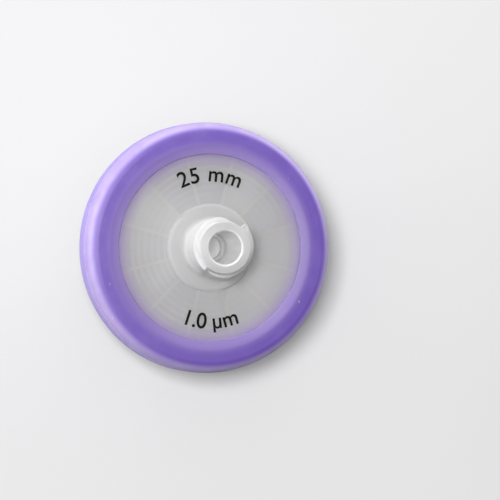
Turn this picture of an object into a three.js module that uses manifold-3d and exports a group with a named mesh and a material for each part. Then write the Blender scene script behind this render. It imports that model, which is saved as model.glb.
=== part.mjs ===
// Disposable syringe filter, 25 mm class, in millimetres.
//
// Two natural polypropylene mouldings clamp a nylon membrane, and a coloured rim is moulded round
// their flanges to hold them together. The inlet is a female Luer lock hub, the outlet is a male
// Luer slip tip. Every piece is turned about the filter's axis, and heights along that axis are
// counted from the rim's parting line, positive towards the inlet.
//
// The filter would roll if it lay on its side, so it stands on the end of its outlet tip, with the
// inlet up. The origin is where its axis meets the floor, and +Z runs along the axis.

import * as THREE from "three";
import { mergeVertices } from "three/addons/utils/BufferGeometryUtils.js";
import Module from "manifold-3d";

const degrees = Math.PI / 180;

// ---------------------------------------------------------------- driving dimensions

const facets = 48; // flats of every turned surface
const filletStep = 18 * degrees; // turn between two points of a fillet
const smallFillet = 0.3; // fillets up to this radius get two flats
const seatGap = 0.05; // clearance wherever two pieces meet
const bite = 0.15; // how far a joined feature reaches into its carrier
const edgeFillet = 0.15; // moulded edges, unless named below
const innerFillet = 0.25; // flow path edges and small root fillets

// Membrane
const membraneRadius = 12.5;
const membraneThickness = 0.2;
const membraneSeat = 0.3; // height of the face that the membrane lies on

// Both housings
const clampWidth = 1.5; // of the membrane's edge that the housings hold
const lipOverlap = 0.4; // how far the rim's lips reach in over the membrane's edge
const ribCount = 12;

// Inlet housing
const inletFlangeMargin = 0.9; // from the membrane's edge to the flange's edge
const inletFlangeThickness = 0.6;
const inletWall = 1.1;
const inletChamberDepth = 0.45;
const inletRibWidth = 0.5;
const inletRibInnerRadius = 2.8;
const bossRadius = 5.65;
const bossHeight = 0.65;

// Female Luer lock hub on the inlet
const hubRadius = 3.36;
const hubRootSpread = 0.09; // the hub is a little wider at its root, for the mould
const hubRootFillet = 0.8;
const luerTaper = 0.03; // change of radius for each millimetre of depth, the 6 % Luer cone
const luerMouthRadius = 2.15;
const luerMouthChamfer = 0.15;
const luerBoreDepth = 8.0;
const inletPassageRadius = 1.5;
const inletPassageLength = 1.15; // from the end of the Luer cone to the membrane chamber

// The two lugs of the Luer lock: a right-hand thread with two starts, each almost half a turn
const lugReach = 0.56; // beyond the hub
const lugDrop = 0.12; // from the hub's end face to the top of a lug at its start
const lugRootHeight = 1.0;
const lugCrestHeight = 0.45;
const lugTopFlank = 0.15;
const lugLead = 5.0;
const lugStart = 47 * degrees;
const lugSweep = 165 * degrees;
const lugRunout = 30 * degrees;
const lugEndShare = 0.35; // height of a lug's thin end, as a share of its full height
const lugSteps = 22;

// Outlet housing
const outletFlangeMargin = 0.8; // beyond the inlet flange
const outletFlangeDrop = 1.3; // from the membrane seat to the underside of the flange
const outletWall = 1.5;
const supportHeight = 0.65;
const supportPitch = 0.86;
const supportWidth = 0.4;
const supportDraft = 0.05;
const channelWidth = 0.55;
const channelExtraDepth = 0.12;
const funnelRadius = 2.0;
const funnelDepth = 0.8;

// Male Luer slip tip on the outlet
const collarRadius = 3.3;
const collarHeight = 2.1;
const collarFillet = 0.6;
const tipLength = 8.0;
const tipEndRadius = 1.99;
const outletBoreRadius = 1.1;

// Overmoulded rim
const rimSideWall = 1.9; // outside the outlet flange
const rimBottomRecess = 1.25; // from the rim's lower edge up to the outlet window
const rimPartingStep = 0.08; // the upper half of the mould is a little smaller
const rimUpperDraft = 0.15;
const rimShoulderDrop = 0.1; // from the crest to where the shoulder's two sides would meet
const rimShoulderRadius = 1.5;
const rimCrestInset = 1.1; // from the lip out to the crest
const rimCrestRise = 0.17; // of the crest above the lip
const rimCrestRound = 2.5;
const rimLipStep = 0.18; // of the lip above the window
const rimLipFillet = 0.2;
const rimBottomFillet = 0.45;

// ---------------------------------------------------------------- sizes that follow

const chamberRadius = membraneRadius - clampWidth;
const windowRadius = membraneRadius - lipOverlap;
const inletFlangeRadius = membraneRadius + inletFlangeMargin;
const outletFlangeRadius = inletFlangeRadius + outletFlangeMargin;
const rimRadius = outletFlangeRadius + seatGap + rimSideWall;

const membraneBottom = membraneSeat + seatGap;
const clampFace = membraneBottom + membraneThickness + seatGap;
const chamberRoof = clampFace + inletChamberDepth;
const inletWindow = chamberRoof + inletWall;
const inletFlangeTop = clampFace + inletFlangeThickness;
const luerConeEnd = chamberRoof + inletPassageLength;
const hubEnd = luerConeEnd + luerBoreDepth;
const outletFloor = membraneSeat - supportHeight;
const outletWindow = outletFloor - outletWall;
const outletFlangeBottom = membraneSeat - outletFlangeDrop;
const collarBottom = outletWindow - collarHeight;
const tipEnd = collarBottom - tipLength;
const rimLip = inletWindow + rimLipStep;
const rimCrest = rimLip + rimCrestRise;
const rimBottom = outletWindow - rimBottomRecess;

// ---------------------------------------------------------------- tools

const wasm = await Module();
wasm.setup();

// Outline of a turned piece. Corners are [radius, height] or [radius, height, fillet], and run
// anticlockwise: up the outside, in along the top, down the inside.
function turnedOutline(corners) {
  const points = [];
  corners.forEach(([radius, height, fillet = 0], index) => {
    const corner = new THREE.Vector2(radius, height);
    if (fillet === 0) {
      points.push(corner);
      return;
    }
    const last = corners.at(index - 1);
    const next = corners[(index + 1) % corners.length];
    const back = new THREE.Vector2(last[0], last[1]).sub(corner).normalize();
    const ahead = new THREE.Vector2(next[0], next[1]).sub(corner).normalize();
    const halfAngle = back.angleTo(ahead) / 2;
    const centre = back.clone().add(ahead).setLength(fillet / Math.sin(halfAngle)).add(corner);
    const from = back.clone().setLength(fillet / Math.tan(halfAngle)).add(corner);
    const turn = Math.sign(ahead.cross(back)) * (Math.PI - 2 * halfAngle);
    const steps = fillet > smallFillet ? Math.ceil(Math.abs(turn) / filletStep) : 2;
    for (let step = 0; step <= steps; step += 1) {
      points.push(from.clone().rotateAround(centre, (turn * step) / steps));
    }
  });
  return points;
}

function turned(outline) {
  return new THREE.LatheGeometry([...outline, outline[0]], facets).rotateX(Math.PI / 2);
}

function solid(geometry) {
  geometry.deleteAttribute("normal");
  geometry.deleteAttribute("uv");
  const merged = mergeVertices(geometry, 1e-5);
  const vertProperties = merged.attributes.position.array;
  const triVerts = Uint32Array.from(merged.index.array);
  return new wasm.Manifold(new wasm.Mesh({ numProp: 3, vertProperties, triVerts }));
}

function geometryOf(manifold) {
  const { vertProperties, triVerts } = manifold.getMesh();
  const geometry = new THREE.BufferGeometry();
  geometry.setAttribute("position", new THREE.BufferAttribute(vertProperties, 3));
  geometry.setIndex(new THREE.BufferAttribute(triVerts, 1));
  geometry.computeVertexNormals();
  return geometry;
}

// A straight bar with round ends that lies along a radius, between two heights.
function radialBar(innerRadius, outerRadius, width, low, high, angle) {
  const half = width / 2;
  const plan = new THREE.Shape();
  plan.absarc(innerRadius + half, 0, half, 90 * degrees, 270 * degrees);
  plan.absarc(outerRadius - half, 0, half, -90 * degrees, 90 * degrees);
  const options = { depth: high - low, bevelEnabled: false, curveSegments: 2 };
  const bar = new THREE.ExtrudeGeometry(plan, options).translate(0, 0, low);
  return solid(bar.rotateZ(angle));
}

// ---------------------------------------------------------------- membrane

const membraneOutline = [
  new THREE.Vector2(0, membraneBottom),
  new THREE.Vector2(membraneRadius, membraneBottom),
  new THREE.Vector2(membraneRadius, membraneBottom + membraneThickness),
  new THREE.Vector2(0, membraneBottom + membraneThickness),
];

// ---------------------------------------------------------------- inlet housing

const inletOutline = turnedOutline([
  [inletPassageRadius, chamberRoof, innerFillet],
  [chamberRadius, chamberRoof, edgeFillet],
  [chamberRadius, clampFace],
  [inletFlangeRadius, clampFace],
  [inletFlangeRadius, inletFlangeTop],
  [windowRadius - seatGap, inletFlangeTop],
  [windowRadius - seatGap, inletWindow],
  [bossRadius, inletWindow, edgeFillet],
  [bossRadius, inletWindow + bossHeight, edgeFillet],
  [hubRadius + hubRootSpread, inletWindow + bossHeight, hubRootFillet],
  [hubRadius, hubEnd, edgeFillet],
  [luerMouthRadius + luerMouthChamfer, hubEnd],
  [luerMouthRadius, hubEnd - luerMouthChamfer],
  [luerMouthRadius - luerTaper * luerBoreDepth, luerConeEnd],
  [inletPassageRadius, luerConeEnd],
]);

// A lug starts as a straight bar of the thread's section, and is wrapped round the hub clockwise
// and downwards. It thins out over the last of its sweep.
function luerLug(startAngle) {
  const rootRadius = hubRadius - bite;
  const lugRadius = hubRadius + lugReach;
  const section = new THREE.Shape([
    new THREE.Vector2(rootRadius, 0),
    new THREE.Vector2(rootRadius, -lugRootHeight),
    new THREE.Vector2(lugRadius, -lugTopFlank - lugCrestHeight),
    new THREE.Vector2(lugRadius, -lugTopFlank),
  ]);
  const options = { depth: lugSweep, steps: lugSteps, bevelEnabled: false };
  const bar = new THREE.ExtrudeGeometry(section, options);
  const position = bar.attributes.position;
  for (let index = 0; index < position.count; index += 1) {
    const turn = position.getZ(index);
    const thinning = Math.min(1, lugEndShare + (lugSweep - turn) / lugRunout);
    const radius = rootRadius + (position.getX(index) - rootRadius) * thinning;
    const height = hubEnd - lugDrop + position.getY(index) - (lugLead * turn) / (2 * Math.PI);
    const angle = startAngle - turn;
    position.setXYZ(index, radius * Math.cos(angle), radius * Math.sin(angle), height);
  }
  return solid(bar);
}

// Ribs under the roof hold the membrane down and spread the liquid over it.
function inletHousing() {
  let housing = solid(turned(inletOutline));
  housing = housing.add(luerLug(lugStart)).add(luerLug(lugStart + Math.PI));
  const outer = chamberRadius - seatGap;
  for (let rib = 0; rib < ribCount; rib += 1) {
    const angle = ((rib + 0.5) * 2 * Math.PI) / ribCount;
    housing = housing.add(
      radialBar(inletRibInnerRadius, outer, inletRibWidth, clampFace, chamberRoof + bite, angle),
    );
  }
  return geometryOf(housing);
}

// ---------------------------------------------------------------- outlet housing

// Corners of the concentric rings that carry the membrane, from the clamped edge inwards.
function supportRings() {
  const corners = [[chamberRadius, membraneSeat]];
  const groove = supportPitch - supportWidth;
  let outer = chamberRadius - groove;
  corners.push([chamberRadius - supportDraft, outletFloor]);
  while (outer - supportWidth > funnelRadius + groove) {
    const inner = outer - supportWidth;
    corners.push([outer + supportDraft, outletFloor], [outer, membraneSeat]);
    corners.push([inner, membraneSeat], [inner - supportDraft, outletFloor]);
    outer -= supportPitch;
  }
  return corners;
}

const outletOutline = turnedOutline([
  [tipEndRadius, tipEnd, edgeFillet],
  [tipEndRadius + luerTaper * tipLength, collarBottom, innerFillet],
  [collarRadius, collarBottom, innerFillet],
  [collarRadius, outletWindow, collarFillet],
  [windowRadius - seatGap, outletWindow],
  [windowRadius - seatGap, outletFlangeBottom],
  [outletFlangeRadius, outletFlangeBottom],
  [outletFlangeRadius, clampFace - seatGap],
  [membraneRadius + seatGap, clampFace - seatGap],
  [membraneRadius + seatGap, membraneSeat],
  ...supportRings(),
  [funnelRadius, outletFloor],
  [outletBoreRadius, outletFloor - funnelDepth],
  [outletBoreRadius, tipEnd],
]);

// Radial channels cross the rings and lead the filtrate to the funnel.
function outletHousing() {
  let housing = solid(turned(outletOutline));
  const floor = outletFloor - channelExtraDepth;
  const inner = outletBoreRadius + bite;
  const outer = chamberRadius - supportDraft;
  for (let channel = 0; channel < ribCount; channel += 1) {
    const angle = (channel * 2 * Math.PI) / ribCount;
    housing = housing.subtract(
      radialBar(inner, outer, channelWidth, floor, membraneSeat + bite, angle),
    );
  }
  return geometryOf(housing);
}

// ---------------------------------------------------------------- overmoulded rim

// The cavity inside the rim follows both flanges, so the rim grips them from above and below.
const rimOutline = turnedOutline([
  [rimRadius, rimBottom, rimBottomFillet],
  [rimRadius, 0],
  [rimRadius - rimPartingStep, 0],
  [rimRadius - rimUpperDraft, rimCrest - rimShoulderDrop, rimShoulderRadius],
  [windowRadius + rimCrestInset, rimCrest, rimCrestRound],
  [windowRadius, rimLip, rimLipFillet],
  [windowRadius, inletFlangeTop + seatGap],
  [inletFlangeRadius + seatGap, inletFlangeTop + seatGap],
  [inletFlangeRadius + seatGap, clampFace],
  [outletFlangeRadius + seatGap, clampFace],
  [outletFlangeRadius + seatGap, outletFlangeBottom - seatGap],
  [windowRadius, outletFlangeBottom - seatGap],
  [windowRadius, rimBottom, rimLipFillet],
]);

// ---------------------------------------------------------------- assembly

const naturalPlastic = { color: 0xdfe2df, roughness: 0.35, metalness: 0 };
const rimPlastic = { color: 0x8a6cc8, roughness: 0.4, metalness: 0 };
const nylon = { color: 0xf2f2ee, roughness: 0.9, metalness: 0 };

function piece(name, geometry, finish) {
  const mesh = new THREE.Mesh(geometry, new THREE.MeshStandardMaterial(finish));
  mesh.name = name;
  return mesh;
}

const filter = new THREE.Group();
filter.add(piece("inlet_housing", inletHousing(), naturalPlastic));
filter.add(piece("outlet_housing", outletHousing(), naturalPlastic));
filter.add(piece("membrane", turned(membraneOutline), nylon));
filter.add(piece("sealing_rim", turned(rimOutline), rimPlastic));

filter.position.z = -tipEnd;

const part = new THREE.Group();
part.add(filter);

export default part;
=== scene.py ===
# %% [markdown]
# # A disposable syringe filter
# A syringe filter is a flat capsule that cleans a liquid as a syringe pushes it through. Two halves
# of clear polypropylene clamp a white nylon membrane, and a purple rim is moulded round their
# edges. The syringe screws on the threaded hub at the top, and the liquid leaves by the tip below.
# Nearly every shape here is round about one axis, so this lesson is about sections that are spun,
# details that repeat round an axis, and plastic that lets light through.

# %% Load the frame
import math

import bmesh
import bpy
from mathutils import Matrix, Vector


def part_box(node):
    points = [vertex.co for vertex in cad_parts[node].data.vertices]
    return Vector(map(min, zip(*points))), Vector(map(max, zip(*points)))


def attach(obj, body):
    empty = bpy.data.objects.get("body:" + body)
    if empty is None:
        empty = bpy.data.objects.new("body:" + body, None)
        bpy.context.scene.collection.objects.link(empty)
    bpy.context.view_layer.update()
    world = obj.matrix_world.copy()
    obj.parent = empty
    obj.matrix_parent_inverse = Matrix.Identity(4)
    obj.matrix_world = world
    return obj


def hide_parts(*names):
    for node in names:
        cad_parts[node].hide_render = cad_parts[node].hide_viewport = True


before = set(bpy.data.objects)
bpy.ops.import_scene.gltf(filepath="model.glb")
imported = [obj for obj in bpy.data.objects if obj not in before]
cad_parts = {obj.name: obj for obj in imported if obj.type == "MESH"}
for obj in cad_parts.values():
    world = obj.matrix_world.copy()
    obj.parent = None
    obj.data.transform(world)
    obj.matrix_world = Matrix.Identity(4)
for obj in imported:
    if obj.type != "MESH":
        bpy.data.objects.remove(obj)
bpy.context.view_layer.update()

MM = 0.001

# %% [markdown]
# ## Sizes
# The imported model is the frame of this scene. Its sizes could be typed in again, but a change to it
# would then leave the fine pieces behind, so every radius and height that it fixes is read from the
# boxes of its nodes. The filter's axis is the Z axis, which makes a node's largest X its radius.
# Sizes that several pieces or paints share come next, and the others are named with their piece.

# %% Read the main sizes from the frame
rim_low, rim_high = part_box("sealing_rim")
inlet_low, inlet_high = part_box("inlet_housing")
outlet_low, outlet_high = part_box("outlet_housing")
membrane_low, membrane_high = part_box("membrane")

rim_radius = rim_high.x
inlet_flange_radius = inlet_high.x
outlet_flange_radius = outlet_high.x
membrane_radius = membrane_high.x
clamp_face = inlet_low.z
hub_end = inlet_high.z
tip_end = outlet_low.z
rim_bottom = rim_low.z
print(f"rim {2 * rim_radius / MM:.1f} mm across, filter {hub_end / MM:.2f} mm tall")

# %% Sizes that pieces share
facets = 192  # flats round a turned piece
fillet_steps = 12
gap = 0.05 * MM  # round a piece that is only clamped
bond = 0.01 * MM  # between plastics that are bonded
edge = 0.15 * MM  # fillet of a plain moulded edge
luer_taper = 0.03  # change of radius for each metre of a 6 % cone
parting_line = clamp_face - 0.6 * MM  # where the halves of the rim's mould meet
chamber_radius = membrane_radius - 1.5 * MM
window_radius = membrane_radius - 0.4 * MM
chamber_roof = clamp_face + 0.45 * MM
inlet_window = chamber_roof + 1.1 * MM
inlet_flange_top = clamp_face + 0.6 * MM
boss_top = inlet_window + 0.65 * MM
mouth_radius = 2.15 * MM
membrane_seat = membrane_low.z - gap
outlet_flange_bottom = membrane_seat - 1.3 * MM
print(f"window {2 * window_radius / MM:.1f} mm across, chamber {2 * chamber_radius / MM:.1f} mm")

# %% Spacing of the ribs, channels and rings
spoke_count = 12
spoke_step = math.tau / spoke_count
ring_pitch = 0.86 * MM
ring_width = 0.4 * MM
ring_groove = ring_pitch - ring_width
first_ring = chamber_radius - ring_groove - ring_width / 2
print(f"a rib every {math.degrees(spoke_step):.0f} degrees, a ring every {ring_pitch / MM} mm")

# %% [markdown]
# ## Node trees
# Both geometry and paint are built from nodes in this file. A tree could be drawn by hand and kept in
# a file of its own, but a script that builds it can be read line by line, and a size in it can be
# changed. One helper adds a node, types in plain values and links sockets, so that a whole tree
# reads as a list of steps. The others do arithmetic, and start and end a Geometry Nodes tree.


# %% Helpers for nodes
def add_node(tree, kind, values=None, **settings):
    """Adds a node. A value that is a socket is linked, and any other value is typed in."""
    node = tree.nodes.new(kind)
    for name, value in settings.items():
        setattr(node, name, value)
    for key, value in (values or {}).items():
        socket = node.inputs[key]
        if isinstance(value, bpy.types.NodeSocket):
            tree.links.new(value, socket)
        else:
            socket.default_value = value
    return node


def maths(tree, operation, first, second=0.0):
    """One arithmetic step between sockets or numbers."""
    node = add_node(tree, "ShaderNodeMath", {0: first, 1: second}, operation=operation)
    return node.outputs[0]


def vector(tree, x=0.0, y=0.0, z=0.0):
    """A vector from sockets or numbers."""
    return add_node(tree, "ShaderNodeCombineXYZ", {"X": x, "Y": y, "Z": z}).outputs[0]


def coordinate(tree, here, axis):
    """The X, Y or Z of a vector."""
    return add_node(tree, "ShaderNodeSeparateXYZ", {"Vector": here}).outputs[axis]


# %% Helpers that start and end a Geometry Nodes tree
def start_tree(name, **inputs):
    """A new tree with these inputs, and the sockets that they arrive on."""
    tree = bpy.data.node_groups.new(name, "GeometryNodeTree")
    for label, kind in inputs.items():
        tree.interface.new_socket(label, in_out="INPUT", socket_type="NodeSocket" + kind)
    tree.interface.new_socket("Geometry", in_out="OUTPUT", socket_type="NodeSocketGeometry")
    return tree, tree.nodes.new("NodeGroupInput").outputs


def end_tree(tree, geometry, material):
    """Every tree ends in real geometry with its material."""
    real = add_node(tree, "GeometryNodeRealizeInstances", {"Geometry": geometry})
    painted = add_node(
        tree, "GeometryNodeSetMaterial", {"Geometry": real.outputs[0], "Material": material}
    )
    add_node(tree, "NodeGroupOutput", {"Geometry": painted.outputs[0]})
    print(f"{tree.name}: {len(tree.nodes)} nodes")


# %% [markdown]
# ## Steps that the trees share
# Every moulded shape below starts as a flat outline. Its corners are rounded, it is swept along a
# path, and small features are copied round the axis. The outlines could be bevelled as solids later,
# but a Bevel modifier has to guess which edges to take, while a rounded outline is exact. The normals
# of each path are set to point along Z first, because a sweep would otherwise roll the outline over.


# %% Helpers for curves
def round_corners(tree, curve, radius, count=4, limit=False):
    """Fillets made of short straight steps. A limit stops two fillets from running together."""
    rounded = add_node(
        tree,
        "GeometryNodeFilletCurve",
        {"Curve": curve, "Count": count, "Radius": radius, "Limit Radius": limit},
        mode="POLY",
    )
    return rounded.outputs[0]


def sweep(tree, path, outline, scale=1.0, caps=True):
    """Sweeps a closed outline along a path. Caps close the two ends of an open path."""
    level = add_node(tree, "GeometryNodeSetCurveNormal", {"Curve": path}, mode="Z_UP")
    swept = add_node(
        tree,
        "GeometryNodeCurveToMesh",
        {
            "Curve": level.outputs[0],
            "Profile Curve": outline,
            "Scale": scale,
            "Fill Caps": caps,
        },
    )
    return swept.outputs[0]


def copy_round_axis(tree, shape, count, first=0.0):
    """Copies a shape round Z at equal steps. The first copy is turned by an angle of its own."""
    points = add_node(tree, "GeometryNodePoints", {"Count": count})
    number = add_node(tree, "GeometryNodeInputIndex").outputs[0]
    turned = maths(tree, "MULTIPLY", number, maths(tree, "DIVIDE", math.tau, count))
    copies = add_node(
        tree,
        "GeometryNodeInstanceOnPoints",
        {
            "Points": points.outputs[0],
            "Instance": shape,
            "Rotation": vector(tree, z=maths(tree, "ADD", first, turned)),
        },
    )
    return copies.outputs[0]


# %% [markdown]
# ## From a tree to a piece
# A tree runs as a modifier on an object. The modifier could stay live, but a finished piece should be
# a plain mesh that any tool can read, so its result is taken at once and the modifier is removed.
# The same is done with the Boolean modifier that joins ribs or cuts channels, and with the shading.


# %% Helpers that make a piece
def add_piece(name, mesh):
    """An object that stands at the origin, with its place in its mesh."""
    piece = bpy.data.objects.new(name, mesh)
    bpy.context.scene.collection.objects.link(piece)
    return piece


def bake(piece):
    """Makes what a piece's modifiers show its plain mesh, without empty material slots."""
    graph = bpy.context.evaluated_depsgraph_get()
    shown = piece.evaluated_get(graph)
    mesh = bpy.data.meshes.new_from_object(shown, preserve_all_data_layers=True, depsgraph=graph)
    for slot in reversed(range(len(mesh.materials))):
        if mesh.materials[slot] is None:
            mesh.materials.pop(index=slot)
    piece.modifiers.clear()
    piece.data = mesh
    return piece


def grow(name, tree, mesh=None, **inputs):
    """A new piece made by a Geometry Nodes tree, from a mesh or from nothing."""
    piece = add_piece(name, mesh or bpy.data.meshes.new(name))
    modifier = piece.modifiers.new(tree.name, "NODES")
    modifier.node_group = tree
    for item in tree.interface.items_tree:
        if item.in_out == "INPUT" and item.name in inputs:
            modifier[item.identifier] = inputs[item.name]
    return bake(piece)


# %% Helpers that finish a piece
def combine(piece, other, operation):
    """Joins another closed piece to this one, or cuts it out."""
    modifier = piece.modifiers.new("join or cut", "BOOLEAN")
    modifier.operation = operation
    modifier.solver = "MANIFOLD"
    modifier.object = other
    bake(piece)
    bpy.data.objects.remove(other)


def shade(piece):
    """Smooth shading that keeps flat faces flat and real corners crisp."""
    steepest_smooth = math.radians(35)
    piece.data.shade_smooth()
    piece.data.set_sharp_from_angle(angle=steepest_smooth)
    modifier = piece.modifiers.new("flat faces stay flat", "WEIGHTED_NORMAL")
    modifier.keep_sharp = True
    bake(piece)


def describe(piece):
    """Prints a piece's size. A closed piece has no open edge and a volume above 0."""
    form = bmesh.new()
    form.from_mesh(piece.data)
    volume = form.calc_volume(signed=True) / MM**3
    open_edges = sum(len(each.link_faces) < 2 for each in form.edges)
    form.free()
    faces = len(piece.data.polygons)
    print(f"{piece.name}: {faces} faces, {volume:.1f} mm3, {open_edges} open edges")


# %% [markdown]
# ## A tree that turns a section
# A moulded disc is described best by its section: the outline that you would see if you sawed it in
# half. Blender could spin such an outline with the Screw modifier or a bmesh spin. Here a small tree
# does it, because it can round the corners too: each corner of the outline carries its own fillet
# radius as an attribute, and the rounded outline is swept round a circle. The circle has a radius of
# its own, so the outline is first moved in by that much.

# %% Round the outline's corners
circle_radius = 1 * MM
turning, given = start_tree(
    "turned moulding",
    Section="Geometry",
    Facets="Int",
    Rounding="Int",
    Material="Material",
)
fillet = add_node(turning, "GeometryNodeInputNamedAttribute", {"Name": "fillet"})
outline = add_node(turning, "GeometryNodeMeshToCurve", {"Mesh": given["Section"]})
rounded = round_corners(
    turning, outline.outputs[0], fillet.outputs["Attribute"], given["Rounding"], limit=True
)
moved_in = add_node(
    turning,
    "GeometryNodeTransform",
    {"Geometry": rounded, "Translation": (-circle_radius, 0, 0)},
)
print("outline moved in by", circle_radius / MM, "mm")

# %% Sweep the outline round the axis
circle = add_node(
    turning,
    "GeometryNodeCurvePrimitiveCircle",
    {"Resolution": given["Facets"], "Radius": circle_radius},
)
welded = add_node(
    turning,
    "GeometryNodeMergeByDistance",
    {
        "Geometry": sweep(turning, circle.outputs[0], moved_in.outputs[0], caps=False),
        "Distance": 0.001 * MM,
    },
)
upright = add_node(
    turning,
    "GeometryNodeTransform",
    {"Geometry": welded.outputs[0], "Rotation": (math.pi, 0, 0)},
)
end_tree(turning, upright.outputs[0], given["Material"])


# %% Turn a list of corners
def section_mesh(corners):
    """Corners are (radius, height) or (radius, height, fillet), anticlockwise."""
    mesh = bpy.data.meshes.new("section")
    count = len(corners)
    points = [(corner[0], corner[1], 0) for corner in corners]
    mesh.from_pydata(points, [(i, (i + 1) % count) for i in range(count)], [])
    fillets = [corner[2] if len(corner) > 2 else 0 for corner in corners]
    mesh.attributes.new("fillet", "FLOAT", "POINT").data.foreach_set("value", fillets)
    return mesh


def turn(name, corners, material):
    """A turned piece, from the corners of its section."""
    return grow(
        name,
        turning,
        section_mesh(corners),
        Facets=facets,
        Rounding=fillet_steps,
        Material=material,
    )


# %% [markdown]
# ## A tree for ribs and channels
# Straight ribs hang from the inlet's roof, and channels of the same form cross the outlet's rings.
# An Array modifier turned by an empty could copy one bar, but its count and its angle sit in two
# places. In this tree they are inputs beside the bar's sizes, so that one tree makes both the ribs
# and the channels. Each bar is a rounded rectangle that is swept along a radius.

# %% One bar along a radius
spokes, given = start_tree(
    "bars round an axis",
    Count="Int",
    Inner="Float",
    Outer="Float",
    Width="Float",
    Low="Float",
    High="Float",
    Round="Float",
    First="Float",
    Material="Material",
)
middle = maths(spokes, "MULTIPLY", maths(spokes, "ADD", given["Low"], given["High"]), 0.5)
bar_path = add_node(
    spokes,
    "GeometryNodeCurvePrimitiveLine",
    {
        "Start": vector(spokes, x=given["Inner"], z=middle),
        "End": vector(spokes, x=given["Outer"], z=middle),
    },
)
bar_outline = add_node(
    spokes,
    "GeometryNodeCurvePrimitiveQuadrilateral",
    {
        "Width": given["Width"],
        "Height": maths(spokes, "SUBTRACT", given["High"], given["Low"]),
    },
)
bar = sweep(
    spokes,
    bar_path.outputs[0],
    round_corners(spokes, bar_outline.outputs[0], given["Round"]),
)
print("bar inputs:", ", ".join(socket.name for socket in given if socket.name))

# %% Bars round the axis
bars = copy_round_axis(spokes, bar, given["Count"], given["First"])
end_tree(spokes, bars, given["Material"])

# %% [markdown]
# ## A tree for the Luer lugs
# A Luer lock hub has two lugs, which are what is left of a two-start thread. Each is a flat-topped
# ridge that follows a helix for almost half a turn and thins out at its end. A Screw modifier would
# need a full thread and a cut. Instead the path starts as a straight line, every point of it is
# moved onto the helix, and the ridge's outline is swept along it. A scale that falls near the end
# makes the run-out.

# %% The path of a lug
lug_points = 64
lugs, given = start_tree(
    "helical lugs",
    Count="Int",
    Root="Float",
    Reach="Float",
    Top="Float",
    Lead="Float",
    Start="Float",
    Sweep="Float",
    Material="Material",
)
lug_line = add_node(lugs, "GeometryNodeCurvePrimitiveLine", {"End": (1, 0, 0)})
lug_steps = add_node(
    lugs, "GeometryNodeResampleCurve", {"Curve": lug_line.outputs[0], "Count": lug_points}
)
along = add_node(lugs, "GeometryNodeSplineParameter").outputs["Factor"]
lug_turn = maths(lugs, "MULTIPLY", along, given["Sweep"])
lug_angle = maths(lugs, "SUBTRACT", given["Start"], lug_turn)
lug_drop = maths(lugs, "MULTIPLY", lug_turn, maths(lugs, "DIVIDE", given["Lead"], math.tau))
on_helix = vector(
    lugs,
    maths(lugs, "MULTIPLY", given["Root"], maths(lugs, "COSINE", lug_angle)),
    maths(lugs, "MULTIPLY", given["Root"], maths(lugs, "SINE", lug_angle)),
    maths(lugs, "SUBTRACT", given["Top"], lug_drop),
)
lug_path = add_node(
    lugs, "GeometryNodeSetPosition", {"Geometry": lug_steps.outputs[0], "Position": on_helix}
)
print("lug path:", lug_points, "points")

# %% The outline of a lug
lug_root_height = 1.0 * MM
lug_crest_height = 0.45 * MM
lug_top_flank = 0.15 * MM
lug_edge = 0.07 * MM
lug_reach = maths(lugs, "MULTIPLY", given["Reach"], -1.0)
lug_outline = add_node(
    lugs,
    "GeometryNodeCurvePrimitiveQuadrilateral",
    {
        "Point 1": (0, lug_root_height, 0),
        "Point 2": vector(lugs, lug_reach, lug_top_flank + lug_crest_height),
        "Point 3": vector(lugs, lug_reach, lug_top_flank),
        "Point 4": (0, 0, 0),
    },
    mode="POINTS",
)
print(f"lug {lug_root_height / MM} mm high at its root, {lug_crest_height / MM} mm at its crest")

# %% Lugs that thin out, round the axis
lug_runout_share = 0.18
lug_thinnest = 0.35
thinning = add_node(
    lugs,
    "ShaderNodeMapRange",
    {
        "Value": along,
        "From Min": 1 - lug_runout_share,
        "From Max": 1.0,
        "To Min": 1.0,
        "To Max": lug_thinnest,
    },
)
lug = sweep(
    lugs,
    lug_path.outputs[0],
    round_corners(lugs, lug_outline.outputs[0], lug_edge),
    thinning.outputs[0],
)
end_tree(lugs, copy_round_axis(lugs, lug, given["Count"]), given["Material"])

# %% [markdown]
# ## A tree for the print
# The diameter and the pore size are printed on the window in two arcs. Letters on an arc are not
# bent: each one is turned about the foot of its own centre line. A text object that follows a curve
# would shear them, so this tree measures how far along its line every letter stands, turns it by
# that length over the radius and moves it onto the arc. A negative radius gives the lower arc, where
# the letters' feet point outwards.

# %% Letters in a straight line
lettering, given = start_tree(
    "letters on an arc",
    Text="String",
    Size="Float",
    Radius="Float",
    Height="Float",
    Ink="Float",
    Spread="Float",
    Material="Material",
)
letters = add_node(
    lettering,
    "GeometryNodeStringToCurves",
    {"String": given["Text"], "Size": given["Size"]},
    align_x="CENTER",
    align_y="BOTTOM_BASELINE",
    pivot_mode="BOTTOM_CENTER",
)
place = add_node(lettering, "GeometryNodeInputPosition")
foot = add_node(
    lettering,
    "ShaderNodeVectorMath",
    {0: place.outputs[0], 1: letters.outputs["Pivot Point"]},
    operation="ADD",
)
noted = add_node(lettering, "GeometryNodeCaptureAttribute", domain="INSTANCE")
noted.capture_items.new("FLOAT", "Along")
lettering.links.new(letters.outputs["Curve Instances"], noted.inputs["Geometry"])
lettering.links.new(coordinate(lettering, foot.outputs[0], "X"), noted.inputs["Along"])
run = noted.outputs["Along"]
print("each letter keeps:", run.name)

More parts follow.
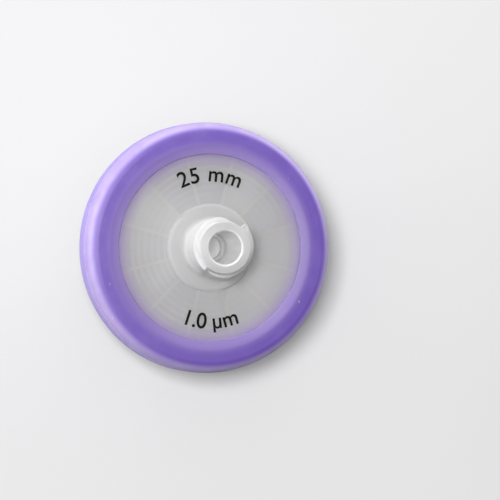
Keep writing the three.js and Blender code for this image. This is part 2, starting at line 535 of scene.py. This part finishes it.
# %% Turn each letter and move it onto the arc
bend = maths(lettering, "DIVIDE", run, given["Radius"])
facing = add_node(
    lettering,
    "GeometryNodeRotateInstances",
    {
        "Instances": noted.outputs["Geometry"],
        "Rotation": vector(lettering, z=maths(lettering, "MULTIPLY", bend, -1.0)),
        "Pivot Point": letters.outputs["Pivot Point"],
        "Local Space": True,
    },
)
arc_x = maths(lettering, "MULTIPLY", given["Radius"], maths(lettering, "SINE", bend))
arc_y = maths(lettering, "MULTIPLY", given["Radius"], maths(lettering, "COSINE", bend))
on_arc = add_node(
    lettering,
    "GeometryNodeTranslateInstances",
    {
        "Instances": facing.outputs[0],
        "Translation": vector(lettering, maths(lettering, "SUBTRACT", arc_x, run), arc_y),
        "Local Space": False,
    },
)
print("steps so far:", len(lettering.nodes))

# %% [markdown]
# Ink spreads a little as it is pressed on, so printed letters are bolder than the outlines they were
# cut from. A heavier font would have other shapes. Here each outline is moved outwards, which is the
# direction across its tangent, and then filled and given the thickness of a layer of ink.

# %% Spread the ink
flat = add_node(lettering, "GeometryNodeRealizeInstances", {"Geometry": on_arc.outputs[0]})
traced = add_node(
    lettering, "GeometryNodeResampleCurve", {"Curve": flat.outputs[0]}, mode="EVALUATED"
)
heading = add_node(lettering, "GeometryNodeInputTangent")
aside = add_node(
    lettering,
    "ShaderNodeVectorMath",
    {0: heading.outputs[0], 1: (0, 0, 1)},
    operation="CROSS_PRODUCT",
)
spread = add_node(
    lettering,
    "ShaderNodeVectorMath",
    {0: aside.outputs[0], "Scale": given["Spread"]},
    operation="SCALE",
)
bold = add_node(
    lettering,
    "GeometryNodeSetPosition",
    {"Geometry": traced.outputs[0], "Offset": spread.outputs[0]},
)
print("steps so far:", len(lettering.nodes))

# %% Give the ink its thickness
filled = add_node(
    lettering, "GeometryNodeFillCurve", {"Curve": bold.outputs[0]}, mode="TRIANGLES"
)
raised = add_node(
    lettering,
    "GeometryNodeExtrudeMesh",
    {"Mesh": filled.outputs[0], "Offset Scale": given["Ink"], "Individual": False},
)
under = add_node(lettering, "GeometryNodeFlipFaces", {"Mesh": filled.outputs[0]})
both = add_node(lettering, "GeometryNodeJoinGeometry")
lettering.links.new(raised.outputs[0], both.inputs[0])
lettering.links.new(under.outputs[0], both.inputs[0])
closed = add_node(
    lettering,
    "GeometryNodeMergeByDistance",
    {"Geometry": both.outputs[0], "Distance": 0.0005 * MM},
)
lifted = add_node(
    lettering,
    "GeometryNodeTransform",
    {"Geometry": closed.outputs[0], "Translation": vector(lettering, z=given["Height"])},
)
end_tree(lettering, lifted.outputs[0], given["Material"])

# %% [markdown]
# ## Paint that stays put
# Moulded plastic is never quite even: it has streaks, specks, and zones where it is thinner. Such
# marks could be images, but those need UV maps and blur up close. All paint here is worked out from
# the object's own coordinates instead, so it stays sharp, and stays in place when the piece is moved.
# The filter is symmetric about Z, so one measure is needed again and again: the distance from the
# axis, which is the length of the coordinate with its height left out.


# %% Helpers that start a material
def start_material(name, **values):
    """A Principled material, with its tree, its shader and the object coordinate."""
    material = bpy.data.materials.new(name)
    material.use_nodes = True
    tree = material.node_tree
    shader = tree.nodes["Principled BSDF"]
    for key, value in values.items():
        shader.inputs[key.replace("_", " ")].default_value = value
    here = add_node(tree, "ShaderNodeTexCoord").outputs["Object"]
    return material, tree, shader, here


def stretch(tree, here, *factors):
    """Scales a coordinate along X, Y and Z. A factor of 0 leaves that direction out."""
    scaled = add_node(tree, "ShaderNodeVectorMath", {0: here, 1: factors}, operation="MULTIPLY")
    return scaled.outputs[0]


def from_axis(tree, here):
    """The distance from the Z axis."""
    flat = stretch(tree, here, 1, 1, 0)
    return add_node(tree, "ShaderNodeVectorMath", {0: flat}, operation="LENGTH").outputs["Value"]


# %% Helpers for paint
def noise(tree, here, size, detail=2.0):
    """Noise whose lumps are about this size in metres."""
    node = add_node(
        tree, "ShaderNodeTexNoise", {"Vector": here, "Scale": 1 / size, "Detail": detail}
    )
    return node.outputs["Fac"]


def fade(tree, value, low, high, at_low=0.0, at_high=1.0):
    """A soft step from one number to another, while the value goes from low to high."""
    node = add_node(
        tree,
        "ShaderNodeMapRange",
        {"Value": value, "From Min": low, "From Max": high, "To Min": at_low, "To Max": at_high},
        interpolation_type="SMOOTHSTEP",
    )
    return node.outputs["Result"]


def blend(tree, share, first, second):
    """Mixes two colours. They go in at the Mix node's inputs 6 and 7, and come out at output 2."""
    node = add_node(tree, "ShaderNodeMix", {0: share, 6: first, 7: second}, data_type="RGBA")
    return node.outputs[2]


def bump(tree, shader, height, distance, strength):
    """Lets a pattern lift the surface a little, for the light alone."""
    node = add_node(
        tree, "ShaderNodeBump", {"Height": height, "Distance": distance, "Strength": strength}
    )
    tree.links.new(node.outputs[0], shader.inputs["Normal"])


# %% [markdown]
# ## Purple plastic
# The rim is polypropylene with a purple pigment. It is half matt, and a little of the light goes in
# and comes out again beside that place, which softens its shading. Where it runs thin over the window
# the clear plastic below makes it paler. Round the outside a paler purple is painted on as a highlight
# for the bright band that low side light draws along the shoulder and the wall. A material for each
# zone would leave hard lines between them, so one material blends four colours by the distance from
# the axis and by height.

# %% Colours of the rim's zones
purple, tree, shader, here = start_material(
    "purple polypropylene",
    Roughness=0.5,
    IOR=1.49,
    Specular_IOR_Level=0.7,
    Subsurface_Weight=0.15,
    Subsurface_Scale=0.5 * MM,
)
deep = (0.17, 0.093, 0.48, 1)
thin = (0.30, 0.218, 0.54, 1)
# painted highlight: a paler purple round the outside stands for the bright band that low side light
# draws along the shoulder
shoulder_highlight = (0.45, 0.36, 0.69, 1)
# a weaker painted highlight on the wall below the parting line, for the side light that falls on it
lower_wall_highlight = (0.36, 0.28, 0.68, 1)

radius = from_axis(tree, here)
over_body = fade(tree, radius, window_radius + 0.2 * MM, window_radius + 2.0 * MM)
painted_highlight_zone = fade(tree, radius, rim_radius - 1.25 * MM, rim_radius - 0.45 * MM)
height = coordinate(tree, here, "Z")
below_parting = fade(tree, height, parting_line - 0.1 * MM, parting_line, 1.0, 0.0)

rim_colour = blend(tree, over_body, thin, deep)
rim_colour = blend(tree, painted_highlight_zone, rim_colour, shoulder_highlight)
rim_colour = blend(tree, below_parting, rim_colour, lower_wall_highlight)
print(purple.name, "zones:", len(tree.nodes), "nodes")

# %% [markdown]
# Up close the purple has pale flecks where the pigment didn't mix in, and soft clouds. The flecks
# could be small bumps of mesh, but they lie inside the skin and can't be felt, so they are paint: a
# Voronoi pattern has one point in each cell, and only the cells with a high random colour show it.

# %% Flecks, clouds and a fine grain
fleck_cell = 4 * MM
fleck_core, fleck_reach = 0.015, 0.03  # of a cell's width
fleck_strength = 0.5
plain_cells = 0.4  # share of the cells that show no fleck
fleck_colour = (0.7, 0.65, 0.8, 1)
cloud_size = 2.5 * MM
cloud_strength = 0.25
cloud_colour = (0.25, 0.17, 0.58, 1)
flecks = add_node(
    tree,
    "ShaderNodeTexVoronoi",
    {"Vector": stretch(tree, here, 1, 0.5, 0), "Scale": 1 / fleck_cell},
    voronoi_dimensions="2D",
)
luck = add_node(tree, "ShaderNodeSeparateColor", {"Color": flecks.outputs["Color"]}).outputs["Red"]
in_fleck = fade(tree, flecks.outputs["Distance"], fleck_core, fleck_reach, 1.0, 0.0)
chosen = fade(tree, luck, plain_cells, 1.0, 0.0, fleck_strength)
in_fleck = maths(tree, "MULTIPLY", in_fleck, chosen)
in_cloud = fade(tree, noise(tree, here, cloud_size, 4.0), 0.4, 0.7, 0.0, cloud_strength)

rim_colour = blend(tree, in_fleck, rim_colour, fleck_colour)
rim_colour = blend(tree, in_cloud, rim_colour, cloud_colour)
tree.links.new(rim_colour, shader.inputs["Base Color"])
bump(tree, shader, noise(tree, here, 0.25 * MM), distance=0.01 * MM, strength=0.4)
print(purple.name, len(tree.nodes), "nodes")

# %% [markdown]
# ## Marks of the rings and ribs
# Through the milky window the support rings and the ribs show as faint pale lines, and the fields
# between the ribs differ a little in tone. The rings and ribs are modelled as well, but so little
# light comes back from them through cloudy plastic that a render smooths them away with its noise.
# So their marks are painted too, from the same pitch and count as the real ones, which keeps each
# mark over what it stands for.


# %% How strongly a ring or a rib shows
rib_core, rib_reach = 0.1 * MM, 0.35 * MM  # from the middle of a rib's mark to its edge


def ring_marks(tree, radius):
    """1 over a support ring and 0 over the groove beside it."""
    from_first = maths(tree, "SUBTRACT", radius, first_ring)
    turns = maths(tree, "MULTIPLY", from_first, math.tau / ring_pitch)
    return fade(tree, maths(tree, "COSINE", turns), -0.6, 0.9)


def rib_marks(tree, here, radius):
    """1 over a rib, and a random tone for each field between two ribs."""
    x, y = coordinate(tree, here, "X"), coordinate(tree, here, "Y")
    fields = maths(tree, "MULTIPLY", maths(tree, "ARCTAN2", y, x), 1 / spoke_step)
    from_rib = maths(tree, "SUBTRACT", maths(tree, "FRACT", fields), 0.5)
    angle = maths(tree, "MULTIPLY", maths(tree, "ABSOLUTE", from_rib), spoke_step)
    aside = maths(tree, "MULTIPLY", angle, radius)
    marks = fade(tree, aside, rib_core, rib_reach, 1.0, 0.0)
    number = maths(tree, "FLOOR", maths(tree, "SUBTRACT", fields, 0.5))
    tone = add_node(tree, "ShaderNodeTexWhiteNoise", {"W": number}, noise_dimensions="1D")
    return marks, tone.outputs["Value"]


# %% [markdown]
# ## Natural plastic
# The two halves are polypropylene without a pigment, which looks like thin milk: light passes, but is
# scattered on its way. Clear glass would look too hard, and plain white too dead, so the shader
# shares the light between a rough transmission and scattering below the surface. That share changes
# over the piece, because the thick hub is whiter than the window. The wall of its bore is painted
# whiter and made less clear still, as painted light that lifts the shade inside the bore. Beside the
# rim the plastic is a little less clear, and a purple tint is painted on as the rim's reflection.
# The IOR is below the plastic's real 1.49, so that the walls don't trap the light and turn dark.

# %% How clear the plastic is
natural, tree, shader, here = start_material(
    "natural polypropylene",
    Roughness=0.4,
    IOR=1.3,
    Subsurface_Weight=0.6,
    Subsurface_Scale=1 * MM,
    Subsurface_Radius=(1, 1, 1),
)
radius = from_axis(tree, here)
height = coordinate(tree, here, "Z")
in_hub = fade(tree, height, boss_top, boss_top + 0.6 * MM)
near_rim = fade(tree, radius, window_radius - 1.9 * MM, window_radius + 0.1 * MM)
near_bore = fade(tree, radius, mouth_radius + 0.05 * MM, mouth_radius + 0.45 * MM, 1.0, 0.0)
# painted light: the bore's wall is made whiter and less clear to lift the shade inside it
bore_painted_light = maths(tree, "MULTIPLY", in_hub, near_bore)

clearness = 0.72
losses = ((in_hub, 0.2), (near_rim, 0.1), (bore_painted_light, 0.35))
for zone, loss in losses:
    clearness = maths(tree, "SUBTRACT", clearness, maths(tree, "MULTIPLY", zone, loss))
tree.links.new(clearness, shader.inputs["Transmission Weight"])
print(natural.name, "zones:", len(tree.nodes), "nodes")

# %% The colour of the milk
clouds = fade(tree, noise(tree, here, 4 * MM, 3.0), 0.3, 0.7)
patches = fade(tree, noise(tree, here, 9 * MM), 0.35, 0.6)
on_window = fade(tree, height, inlet_window, inlet_window + 0.1 * MM, 1.0, 0.0)
ring_strength = 0.8
rings = maths(tree, "MULTIPLY", ring_marks(tree, radius), patches)
rings = maths(tree, "MULTIPLY", maths(tree, "MULTIPLY", rings, ring_strength), on_window)
ribs, tone = rib_marks(tree, here, radius)
ribs = maths(tree, "MULTIPLY", ribs, on_window)
tone = maths(tree, "MULTIPLY", tone, on_window)

milk = blend(tree, clouds, (0.91, 0.91, 0.915, 1), (0.95, 0.945, 0.95, 1))
zones = (
    (tone, (0.85, 0.84, 0.86, 1)),
    (rings, (1.0, 1.0, 0.99, 1)),
    (ribs, (1.0, 1.0, 0.975, 1)),
    # painted reflection: a purple tint that stands for the rim seen in the plastic beside it
    (near_rim, (0.78, 0.68, 1.0, 1)),
    (in_hub, (0.97, 0.97, 0.97, 1)),
    # painted light: white that lifts the shade in the bore
    (bore_painted_light, (1.0, 1.0, 1.0, 1)),
)
for share, colour in zones:
    milk = blend(tree, share, milk, colour)
tree.links.new(milk, shader.inputs["Base Color"])
bump(tree, shader, noise(tree, here, 0.8 * MM), distance=0.01 * MM, strength=0.3)
print(natural.name, len(tree.nodes), "nodes")

# %% [markdown]
# ## Nylon
# The membrane is a matt white sheet with pores far finer than any mesh could hold. Real holes are out
# of the question, and a plain white would look like card, so a fine noise gives the sheet the uneven
# tone and the tooth of filter paper.

# %% Nylon membrane
fibre_size = 0.08 * MM
nylon, tree, shader, here = start_material("nylon membrane", Roughness=0.9, IOR=1.53)
fibres = noise(tree, here, fibre_size, 6.0)
paper = blend(tree, fade(tree, fibres, 0.35, 0.65), (0.88, 0.88, 0.87, 1), (0.94, 0.94, 0.93, 1))
tree.links.new(paper, shader.inputs["Base Color"])
bump(tree, shader, fibres, distance=0.02 * MM, strength=0.5)
print(nylon.name, len(tree.nodes), "nodes")

# %% [markdown]
# ## Ink
# The print is a thin coat of black ink, matt and a little uneven where it took less well. A shiny or
# pure black would look like a hole in the window, so the black is kept just above zero, with
# almost no gloss, and a small noise makes it patchy.

# %% Black ink
ink, tree, shader, here = start_material(
    "black printing ink", Roughness=0.7, Specular_IOR_Level=0.1
)
patchy = fade(tree, noise(tree, here, 0.15 * MM, 3.0), 0.3, 0.7)
black = blend(tree, patchy, (0.006, 0.006, 0.004, 1), (0.014, 0.014, 0.010, 1))
tree.links.new(black, shader.inputs["Base Color"])
print(ink.name, len(tree.nodes), "nodes")

# %% [markdown]
# ## The purple rim
# The rim is moulded over the two halves once the membrane lies between them. It is a ring with an
# undercut groove inside, which grips both flanges, and a crowned top that rises from a parting line
# round the outside. It could be a torus that is pushed into shape, but only a turned section gives
# the true groove, the small step at the parting line and a fillet of its own at every corner.

# %% Sizes of the rim
rim_step = 0.08 * MM
rim_draft = 0.15 * MM
crest = clamp_face + 1.9 * MM
shoulder = crest - 0.1 * MM
crown_radius = window_radius + 1.1 * MM
lip = crest - 0.17 * MM
lip_radius = window_radius - 0.1 * MM
lip_foot = inlet_window + 0.003 * MM  # just clear of the window
flange_room = outlet_flange_bottom - bond
foot_round, step_round, recess_round = 0.45 * MM, 0.03 * MM, 0.2 * MM
shoulder_round, crown_round, lip_round = 1.5 * MM, 2.5 * MM, 0.17 * MM
print(f"rim's crown {(crest - inlet_window) / MM:.2f} mm above the window")

# %% Turn the rim
rim = turn(
    "rim_moulding",
    [
        (rim_radius, rim_bottom, foot_round),
        (rim_radius, parting_line, step_round),
        (rim_radius - rim_step, parting_line, step_round),
        (rim_radius - rim_draft, shoulder, shoulder_round),
        (crown_radius, crest, crown_round),
        (lip_radius, lip, lip_round),
        (lip_radius, lip_foot),
        (window_radius, lip_foot),
        (window_radius, inlet_flange_top + bond),
        (inlet_flange_radius + bond, inlet_flange_top + bond),
        (inlet_flange_radius + bond, clamp_face),
        (outlet_flange_radius + bond, clamp_face),
        (outlet_flange_radius + bond, flange_room),
        (window_radius, flange_room),
        (window_radius, rim_bottom, recess_round),
    ],
    purple,
)
shade(rim)
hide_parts("sealing_rim")
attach(rim, "root")
describe(rim)

# %% [markdown]
# ## The inlet half
# The inlet half is the disc under the print with the threaded hub on it, in one moulding. Its roof
# leaves a flat chamber over the membrane. The hub is a Luer lock: its bore narrows by 6 % so that the
# syringe's cone wedges in it. Disc and hub could be two cylinders that are joined, but one section
# keeps the fillet at the hub's root and the chamfer at its mouth in the same outline.

# %% Sizes of the inlet half
boss_radius = 5.65 * MM
hub_radius = 3.36 * MM
hub_root_flare = 0.09 * MM
mouth_chamfer = 0.15 * MM
cone_depth = 8.0 * MM
cone_end = hub_end - cone_depth
cone_end_radius = mouth_radius - luer_taper * cone_depth
passage_radius = 1.5 * MM
passage_round, boss_round, hub_root_round = 0.25 * MM, 0.4 * MM, 0.8 * MM
print(f"Luer cone {2 * mouth_radius / MM:.2f} to {2 * cone_end_radius / MM:.2f} mm")

# %% Turn the inlet half
inlet = turn(
    "inlet_moulding",
    [
        (passage_radius, chamber_roof, passage_round),
        (chamber_radius, chamber_roof, edge),
        (chamber_radius, clamp_face),
        (inlet_flange_radius, clamp_face),
        (inlet_flange_radius, inlet_flange_top),
        (window_radius - bond, inlet_flange_top),
        (window_radius - bond, inlet_window),
        (boss_radius, inlet_window, edge),
        (boss_radius, boss_top, boss_round),
        (hub_radius + hub_root_flare, boss_top, hub_root_round),
        (hub_radius, hub_end, edge),
        (mouth_radius + mouth_chamfer, hub_end),
        (mouth_radius, hub_end - mouth_chamfer),
        (cone_end_radius, cone_end),
        (passage_radius, cone_end),
    ],
    natural,
)
describe(inlet)

# %% [markdown]
# Twelve thin ribs hang from the roof and spread the liquid over the membrane, and the two lugs lock
# the syringe's collar. Both repeat round the axis, so the trees for bars and lugs make them. Each
# starts a little inside the wall that carries it, because a join needs the two solids to overlap.

# %% Ribs
rib_overlap = 0.2 * MM
ribs = grow(
    "inlet ribs",
    spokes,
    Count=spoke_count,
    Inner=2.8 * MM,
    Outer=chamber_radius - gap,
    Width=0.5 * MM,
    Low=clamp_face,
    High=chamber_roof + rib_overlap,
    Round=0.1 * MM,
    First=spoke_step / 2,
    Material=natural,
)
describe(ribs)

# %% Lugs
lug_overlap = 0.15 * MM
thread = grow(
    "luer lugs",
    lugs,
    Count=2,
    Root=hub_radius - lug_overlap,
    Reach=0.71 * MM,
    Top=hub_end - 0.12 * MM,
    Lead=5.0 * MM,
    Start=math.radians(47),
    Sweep=math.radians(165),
    Material=natural,
)
describe(thread)

# %% Join them to the inlet half
combine(inlet, ribs, "UNION")
combine(inlet, thread, "UNION")
shade(inlet)
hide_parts("inlet_housing")
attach(inlet, "root")
describe(inlet)

# %% [markdown]
# ## The outlet half
# The outlet half holds the membrane up against the flow. Concentric rings carry it, and twelve
# channels cross the rings so that the filtered liquid runs to the hole in the middle. Below, the
# half narrows to a collar and to the slip tip, which the model stands on. The rings could be copies
# of one ring, but they are round about the same axis as the rest, so a loop adds them to its section.

# %% Outline of the support rings
ring_draft = 0.05 * MM
ring_round = 0.06 * MM
funnel_radius = 2.0 * MM
outlet_floor = membrane_seat - 0.65 * MM
corners = [(chamber_radius, membrane_seat), (chamber_radius - ring_draft, outlet_floor)]
outer = chamber_radius - ring_groove
while outer - ring_width > funnel_radius + ring_groove:
    corners += [
        (outer + ring_draft, outlet_floor),
        (outer, membrane_seat, ring_round),
        (outer - ring_width, membrane_seat, ring_round),
        (outer - ring_width - ring_draft, outlet_floor),
    ]
    outer -= ring_pitch
print("support rings:", (len(corners) - 2) // 4)

# %% Sizes of the outlet half
outlet_window = outlet_floor - 1.5 * MM
collar_radius = 3.3 * MM
collar_bottom = outlet_window - 2.1 * MM
tip_radius = 1.99 * MM
tip_root_radius = tip_radius + luer_taper * (collar_bottom - tip_end)
bore_radius = 1.1 * MM
bore_top = outlet_floor - 0.8 * MM
collar_round, window_round = 0.25 * MM, 0.6 * MM
print(f"slip tip {2 * tip_radius / MM:.2f} to {2 * tip_root_radius / MM:.2f} mm")

# %% Turn the outlet half
outlet = turn(
    "outlet_moulding",
    [
        (tip_radius, tip_end, edge),
        (tip_root_radius, collar_bottom, collar_round),
        (collar_radius, collar_bottom, collar_round),
        (collar_radius, outlet_window, window_round),
        (window_radius - bond, outlet_window),
        (window_radius - bond, outlet_flange_bottom),
        (outlet_flange_radius, outlet_flange_bottom),
        (outlet_flange_radius, clamp_face - gap),
        (membrane_radius + gap, clamp_face - gap),
        (membrane_radius + gap, membrane_seat),
        *corners,
        (funnel_radius, outlet_floor),
        (bore_radius, bore_top),
        (bore_radius, tip_end),
    ],
    natural,
)
describe(outlet)

# %% Cut its channels
channel_depth = 0.12 * MM  # below the floor between the rings
above_rings = 0.5 * MM  # so that the cut leaves no skin
channels = grow(
    "outlet channels",
    spokes,
    Count=spoke_count,
    Inner=1.25 * MM,
    Outer=chamber_radius - gap,
    Width=0.55 * MM,
    Low=outlet_floor - channel_depth,
    High=membrane_seat + above_rings,
    Round=0.1 * MM,
    First=0.0,
    Material=natural,
)
combine(outlet, channels, "DIFFERENCE")
shade(outlet)
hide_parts("outlet_housing")
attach(outlet, "root")
describe(outlet)

# %% [markdown]
# ## The membrane
# The membrane is a thin sheet of nylon that lies on the support rings. A plain disc would do, but a
# real sheet is soft and sinks a little between the rings, and that makes the rings show through it.
# A Displace modifier could press it down with a texture. A formula is simpler, since the sag
# follows the pitch of the rings, so a loop sets each ring of points at its own height.

# %% How far the sheet sinks
sag = 0.03 * MM
sheet_steps = 120


def sunk(radius):
    """The sheet's drop at this distance from the axis."""
    if not funnel_radius < radius < chamber_radius:
        return 0.0
    phase = (radius - first_ring) / ring_pitch
    return sag * (0.5 - 0.5 * math.cos(math.tau * phase))


radii = [membrane_radius * (i / sheet_steps) for i in range(1, sheet_steps + 1)]
below = [(r, membrane_low.z - sunk(r)) for r in radii]
above = [(r, membrane_high.z - sunk(r)) for r in reversed(radii)]
print(f"the sheet sinks by up to {max(map(sunk, radii)) / MM:.3f} mm")


# %% Build the sheet
def ring_of_points(form, radius, height):
    """A ring of points about the axis."""
    angles = [math.tau * i / facets for i in range(facets)]
    return [form.verts.new((radius * math.cos(a), radius * math.sin(a), height)) for a in angles]


form = bmesh.new()
loops = [ring_of_points(form, r, z) for r, z in below + above]
for low, high in zip(loops, loops[1:]):
    for i in range(facets):
        j = (i + 1) % facets
        form.faces.new((low[i], low[j], high[j], high[i]))
for loop, z in ((loops[0][::-1], membrane_low.z), (loops[-1], membrane_high.z)):
    centre = form.verts.new((0, 0, z))
    for i in range(facets):
        form.faces.new((loop[i], loop[(i + 1) % facets], centre))
sheet_mesh = bpy.data.meshes.new("membrane_sheet")
form.to_mesh(sheet_mesh)
form.free()
print("sheet:", len(sheet_mesh.polygons), "faces")

# %% Finish the membrane
sheet_mesh.materials.append(nylon)
sheet = add_piece("membrane_sheet", sheet_mesh)
shade(sheet)
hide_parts("membrane")
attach(sheet, "root")
describe(sheet)

# %% [markdown]
# ## The print
# The print says what a user needs to know before they push liquid through: how wide the filter is
# and how fine its pores are. It could be painted on the window's material, but letters with an
# edge as sharp as a press gives need outlines, so it is a thin layer of ink on the plastic.


# %% Print the two sizes
def print_arc(name, words, radius):
    """One line of print. A negative radius puts it below the hub."""
    return grow(
        name,
        lettering,
        Text=words,
        Size=2.85 * MM,
        Radius=radius,
        Height=inlet_window,
        Ink=0.01 * MM,
        Spread=0.035 * MM,
        Material=ink,
    )


size_print = print_arc("size_print", "25 mm", 8.5 * MM)
lower_print = print_arc("lower print", "1.0 µm", -10.4 * MM)
print("printed:", size_print.name, "and", lower_print.name)

# %% Make them one layer of ink
form = bmesh.new()
form.from_mesh(size_print.data)
form.from_mesh(lower_print.data)
form.to_mesh(size_print.data)
form.free()
bpy.data.objects.remove(lower_print)
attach(size_print, "root")
describe(size_print)

# %% [markdown]
# ## The floor
# The filter stands on a plain pale sheet. It is painted a little brighter at the back, as painted
# light that falls off towards the front. A sheet this pale throws light back up and fills the shadow
# that should hold the filter down. So the camera, reflections and the clear plastic see the pale
# sheet, while the light that bounces about the scene meets a grey one.

# %% Paint the floor
grey = (0.2, 0.2, 0.2, 1)
front, rear = (0.84, 0.835, 0.84, 1), (0.89, 0.885, 0.89, 1)
fade_reach = 35 * MM
pale, tree, shader, here = start_material("pale paper", Roughness=0.9)
# painted light: the floor is paler at the back, for light that falls off towards the front
painted_falloff = fade(tree, coordinate(tree, here, "Y"), -fade_reach, fade_reach)
tone = blend(tree, painted_falloff, front, rear)
ray = add_node(tree, "ShaderNodeLightPath").outputs
seen = maths(tree, "MAXIMUM", ray["Is Camera Ray"], ray["Is Glossy Ray"])
seen = maths(tree, "MAXIMUM", seen, ray["Is Transmission Ray"])
tree.links.new(blend(tree, seen, grey, tone), shader.inputs["Base Color"])
bump(tree, shader, noise(tree, here, 0.5 * MM, 3.0), distance=0.01 * MM, strength=0.2)
print(pale.name, len(tree.nodes), "nodes")

# %% Lay the floor
reach = 0.6
floor_mesh = bpy.data.meshes.new("floor")
floor_mesh.from_pydata(
    [(-reach, -reach, 0), (reach, -reach, 0), (reach, reach, 0), (-reach, reach, 0)],
    [],
    [(0, 1, 2, 3)],
)
floor_mesh.materials.append(pale)
floor = add_piece("floor", floor_mesh)
print("floor:", 2 * reach, "m wide")

# %% [markdown]
# ## Light
# A small part on a table is lit from above by a lamp, and from low down by the windows of the room.
# Three wide, low lamps stand for windows at the back right, the back and the left. They draw the
# bright line round the rim's wall, and are too low to wash out the shadow on the floor. A small
# lamp high up on the left shades the forms and throws that shadow. A sun lamp would make the shadow
# hard, and a bright sky alone would leave hardly any.


# %% A soft lamp
def add_lamp(name, azimuth, elevation, distance, width, height, brightness):
    """A lamp that looks at the filter. At brightness 1 its face is as bright as lit white paper."""
    lamp = bpy.data.lights.new(name, "AREA")
    lamp.shape = "RECTANGLE"
    lamp.size = width
    lamp.size_y = height
    lamp.energy = brightness * math.pi * width * height
    around, above = math.radians(azimuth), math.radians(elevation)
    direction = Vector(
        (math.cos(around) * math.cos(above), math.sin(around) * math.cos(above), math.sin(above))
    )
    side = Vector((0, 0, 1)).cross(direction).normalized()
    turned = Matrix((side, direction.cross(side), direction)).transposed().to_4x4()
    placed = bpy.data.objects.new(name, lamp)
    placed.matrix_world = Matrix.Translation(distance * direction) @ turned
    bpy.context.scene.collection.objects.link(placed)
    print(f"{name}: {lamp.energy:.1f} W")


# %% Place the lamps
low_windows = ((40, 12), (100, 10), (170, 16))  # azimuth in degrees, and brightness
for azimuth, brightness in low_windows:
    add_lamp(
        f"low window {azimuth}",
        azimuth,
        elevation=5.5,
        distance=0.6,
        width=0.5,
        height=0.1,
        brightness=brightness,
    )
add_lamp(
    "overhead", azimuth=166, elevation=71, distance=0.7, width=0.16, height=0.16, brightness=41
)

# %% [markdown]
# The room itself adds a faint light from all round. A sky of one strength would lift every shadow
# alike, so it is brightest at the back left and almost dark at the front right.

# %% A faint sky
dark_side = (0.7, -0.7, 0)
bright_strength, dark_strength = 0.4, 0.02
world = bpy.data.worlds.new("studio")
bpy.context.scene.world = world
world.use_nodes = True
sky = world.node_tree
background = sky.nodes["Background"].inputs
background["Color"].default_value = (1, 1, 1, 1)
towards = add_node(sky, "ShaderNodeTexCoord").outputs["Generated"]
towards_dark = add_node(
    sky, "ShaderNodeVectorMath", {0: towards, 1: dark_side}, operation="DOT_PRODUCT"
).outputs["Value"]
strength = fade(sky, towards_dark, -0.8, 0.8, bright_strength, dark_strength)
sky.links.new(strength, background["Strength"])
bpy.context.scene.view_settings.view_transform = "Standard"
print("sky strength:", bright_strength, "to", dark_strength)

# %% [markdown]
# ## Camera
# The camera looks down at the print and leans a little to the left of the axis, so that the hub
# shows its height. A Track To constraint could aim it, but takes its roll from the world's Z, which is
# nearly the line of sight here. So its three axes are written out as vectors. A long lens from half
# a metre away keeps the rim close to a true circle.

# %% Camera
lean = math.radians(14.5)
right = Vector((math.cos(lean), 0, math.sin(lean)))
up = Vector((0, 1, 0))
back = right.cross(up)
distance = 0.5
aim_right, aim_down = 5.65 * MM, 0.30 * MM  # of the rim's middle
aim = Vector((0, 0, parting_line)) + aim_right * right - aim_down * up
lens = bpy.data.cameras.new("camera")
lens.sensor_width = 36
lens.lens = 279
lens.clip_start = 0.01
camera = bpy.data.objects.new("camera", lens)
turned = Matrix((right, up, back)).transposed().to_4x4()
camera.matrix_world = Matrix.Translation(aim + distance * back) @ turned
bpy.context.scene.collection.objects.link(camera)
bpy.context.scene.camera = camera
print(f"camera {distance} m away, {lens.lens:.0f} mm lens")
